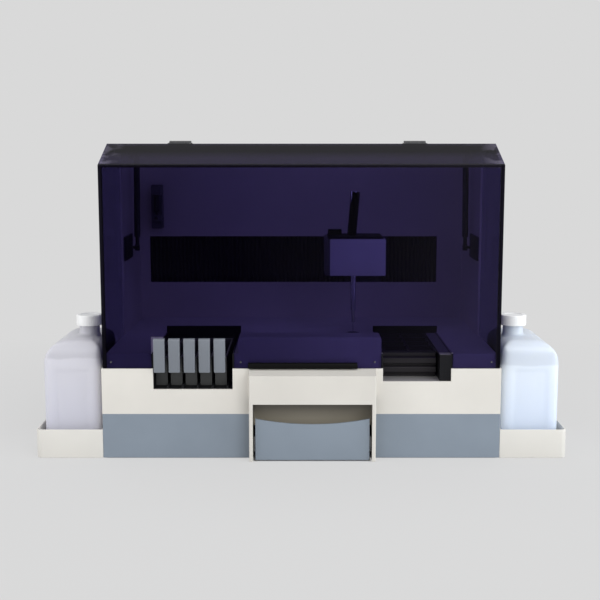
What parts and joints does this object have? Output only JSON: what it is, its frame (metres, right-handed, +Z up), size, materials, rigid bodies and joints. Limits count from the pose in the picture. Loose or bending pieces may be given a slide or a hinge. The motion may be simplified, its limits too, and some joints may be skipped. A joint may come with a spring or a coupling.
{
  "type": "coagulation analyzer",
  "caption": "Bench-top blood clotting analyzer with a tinted lift-up hood, sample racks, a pipetting arm and side trays with fluid bottles.",
  "frame": {"origin": "on the bench, at the middle of the footprint of the instrument with its side trays", "axes": "+X to the operator's right, -Y towards the operator, +Z up"},
  "size_m": [1.004, 0.64, 0.5975],
  "materials": {
    "casing_white": "satin moulded casing",
    "deck_white": "satin paint",
    "panel_grey": "blue-grey satin paint",
    "zinc_steel": "zinc-plated sheet",
    "steel_bright": "ground steel",
    "anodised_aluminium": "clear anodised",
    "black_metal": "black powder coat",
    "cover_metal": "satin paint",
    "hinge_black": "black oxide",
    "bay_dark": "dark moulded well",
    "rack_dark": "dark moulded rack",
    "handle_grey": "pale blue-grey moulding",
    "tray_grey": "dark grey moulding",
    "bellows_black": "pleated coated cloth",
    "foot_rubber": "moulded rubber",
    "board_green": "solder-masked board",
    "black_plastic": "black moulding",
    "tray_white": "off-white moulding",
    "tinted_acrylic": "violet-tinted clear acrylic",
    "head_white": "white moulding",
    "bottle_milky": "milky blow-moulded polyethylene",
    "cap_white": "ribbed moulded cap"
  },
  "bodies": {
    "base": {"base_plate": "zinc_steel", "feet": "foot_rubber", "body_shell": "casing_white", "lower_panel_left": "panel_grey", "lower_panel_right": "panel_grey", "centre_bezel": "casing_white", "work_deck": "deck_white", "front_sill": "deck_white", "sample_bay": "bay_dark", "reagent_bay": "bay_dark", "measuring_unit": "anodised_aluminium", "wash_station": "steel_bright", "rear_housing": "casing_white", "back_cover": "cover_metal", "cover_screws": "steel_bright", "strut_brackets": "black_metal", "fixed_hinge_leaves": "hinge_black", "hinge_pins": "steel_bright", "x_beam": "anodised_aluminium", "x_rail": "steel_bright", "x_motor": "black_metal", "bellows_left": "bellows_black", "bellows_right": "bellows_black", "syringe_pump": "black_metal", "power_supply": "zinc_steel", "control_board": "board_green", "power_inlet": "black_plastic", "tray_left": "tray_white", "tray_right": "tray_white"},
    "hood": {"hood_shell": "tinted_acrylic", "hood_grip": "black_plastic", "hood_hinge_leaves": "hinge_black", "hood_strut_brackets": "black_metal"},
    "strut_rod_left": {"strut_rod_left": "black_metal"},
    "strut_rod_right": {"strut_rod_right": "black_metal"},
    "strut_cylinder_left": {"strut_cylinder_left": "black_metal"},
    "strut_cylinder_right": {"strut_cylinder_right": "black_metal"},
    "reagent_tray": {"reagent_tray": "tray_grey"},
    "drawer": {"drawer_front": "panel_grey", "drawer_box": "zinc_steel"},
    "x_carriage": {"x_carriage": "black_metal"},
    "head": {"y_arm": "anodised_aluminium", "head_cover": "head_white", "head_guide": "black_plastic"},
    "probe": {"probe": "steel_bright"},
    "bottle_left": {"bottle_left": "bottle_milky"},
    "bottle_right": {"bottle_right": "bottle_milky"},
    "cap_left": {"cap_left": "cap_white"},
    "cap_right": {"cap_right": "cap_white"},
    "power_switch": {"power_switch": "black_plastic"},
    "rack_1": {"rack_1": "rack_dark", "rack_handle_1": "handle_grey"},
    "rack_2": {"rack_2": "rack_dark", "rack_handle_2": "handle_grey"},
    "rack_3": {"rack_3": "rack_dark", "rack_handle_3": "handle_grey"},
    "rack_4": {"rack_4": "rack_dark", "rack_handle_4": "handle_grey"},
    "rack_5": {"rack_5": "rack_dark", "rack_handle_5": "handle_grey"}
  },
  "joints": [
    {"name": "hood_open", "type": "hinge", "parent": "base", "child": "hood", "pos_m": [0, 0.138, 0.5925], "axis": [-1, 0, 0], "range_deg": [0, 65]},
    {"name": "strut_left_tilt", "type": "hinge", "parent": "base", "child": "strut_rod_left", "pos_m": [-0.3475, 0.008, 0.373], "axis": [-1, 0, 0], "range_deg": [0, 6.25]},
    {"name": "strut_left_slide", "type": "slide", "parent": "strut_rod_left", "child": "strut_cylinder_left", "axis": [0, 0.0723, 0.9974], "range_m": [0, 0.1261]},
    {"name": "strut_right_tilt", "type": "hinge", "parent": "base", "child": "strut_rod_right", "pos_m": [0.3475, 0.008, 0.373], "axis": [-1, 0, 0], "range_deg": [0, 6.25]},
    {"name": "strut_right_slide", "type": "slide", "parent": "strut_rod_right", "child": "strut_cylinder_right", "axis": [0, 0.0723, 0.9974], "range_m": [0, 0.1261]},
    {"name": "rack_1_slide", "type": "slide", "parent": "base", "child": "rack_1", "axis": [0, -1, 0], "range_m": [0, 0.245]},
    {"name": "rack_2_slide", "type": "slide", "parent": "base", "child": "rack_2", "axis": [0, -1, 0], "range_m": [0, 0.245]},
    {"name": "rack_3_slide", "type": "slide", "parent": "base", "child": "rack_3", "axis": [0, -1, 0], "range_m": [0, 0.245]},
    {"name": "rack_4_slide", "type": "slide", "parent": "base", "child": "rack_4", "axis": [0, -1, 0], "range_m": [0, 0.245]},
    {"name": "rack_5_slide", "type": "slide", "parent": "base", "child": "rack_5", "axis": [0, -1, 0], "range_m": [0, 0.245]},
    {"name": "reagent_tray_slide", "type": "slide", "parent": "base", "child": "reagent_tray", "axis": [0, -1, 0], "range_m": [0, 0.245]},
    {"name": "drawer_slide", "type": "slide", "parent": "base", "child": "drawer", "axis": [0, -1, 0], "range_m": [0, 0.2]},
    {"name": "x_slide", "type": "slide", "parent": "base", "child": "x_carriage", "axis": [1, 0, 0], "range_m": [-0.373, 0.085], "deforming": ["bellows_left", "bellows_right"]},
    {"name": "y_slide", "type": "slide", "parent": "x_carriage", "child": "head", "axis": [0, -1, 0], "range_m": [0, 0.11]},
    {"name": "z_slide", "type": "slide", "parent": "head", "child": "probe", "axis": [0, 0, 1], "range_m": [0, 0.045]},
    {"name": "power_switch_rock", "type": "hinge", "parent": "base", "child": "power_switch", "pos_m": [-0.256, 0.308, 0.07], "axis": [1, 0, 0], "range_deg": [0, 16]},
    {"name": "bottle_left_lift", "type": "slide", "parent": "base", "child": "bottle_left", "axis": [0, 0, 1], "range_m": [0, 0.3]},
    {"name": "cap_left_turn", "type": "hinge", "parent": "bottle_left", "child": "cap_left", "pos_m": [-0.414, -0.192, 0.25], "axis": [0, 0, 1], "continuous": true},
    {"name": "bottle_right_lift", "type": "slide", "parent": "base", "child": "bottle_right", "axis": [0, 0, 1], "range_m": [0, 0.3]},
    {"name": "cap_right_turn", "type": "hinge", "parent": "bottle_right", "child": "cap_right", "pos_m": [0.414, -0.192, 0.25], "axis": [0, 0, 1], "continuous": true}
  ],
  "couplings": [
    {"joint": "strut_left_tilt", "follows": "hood_open", "ratio": 0.09463},
    {"joint": "strut_left_slide", "follows": "hood_open", "m_per_rad": 0.11024},
    {"joint": "strut_right_tilt", "follows": "hood_open", "ratio": 0.09463},
    {"joint": "strut_right_slide", "follows": "hood_open", "m_per_rad": 0.11024}
  ]
}
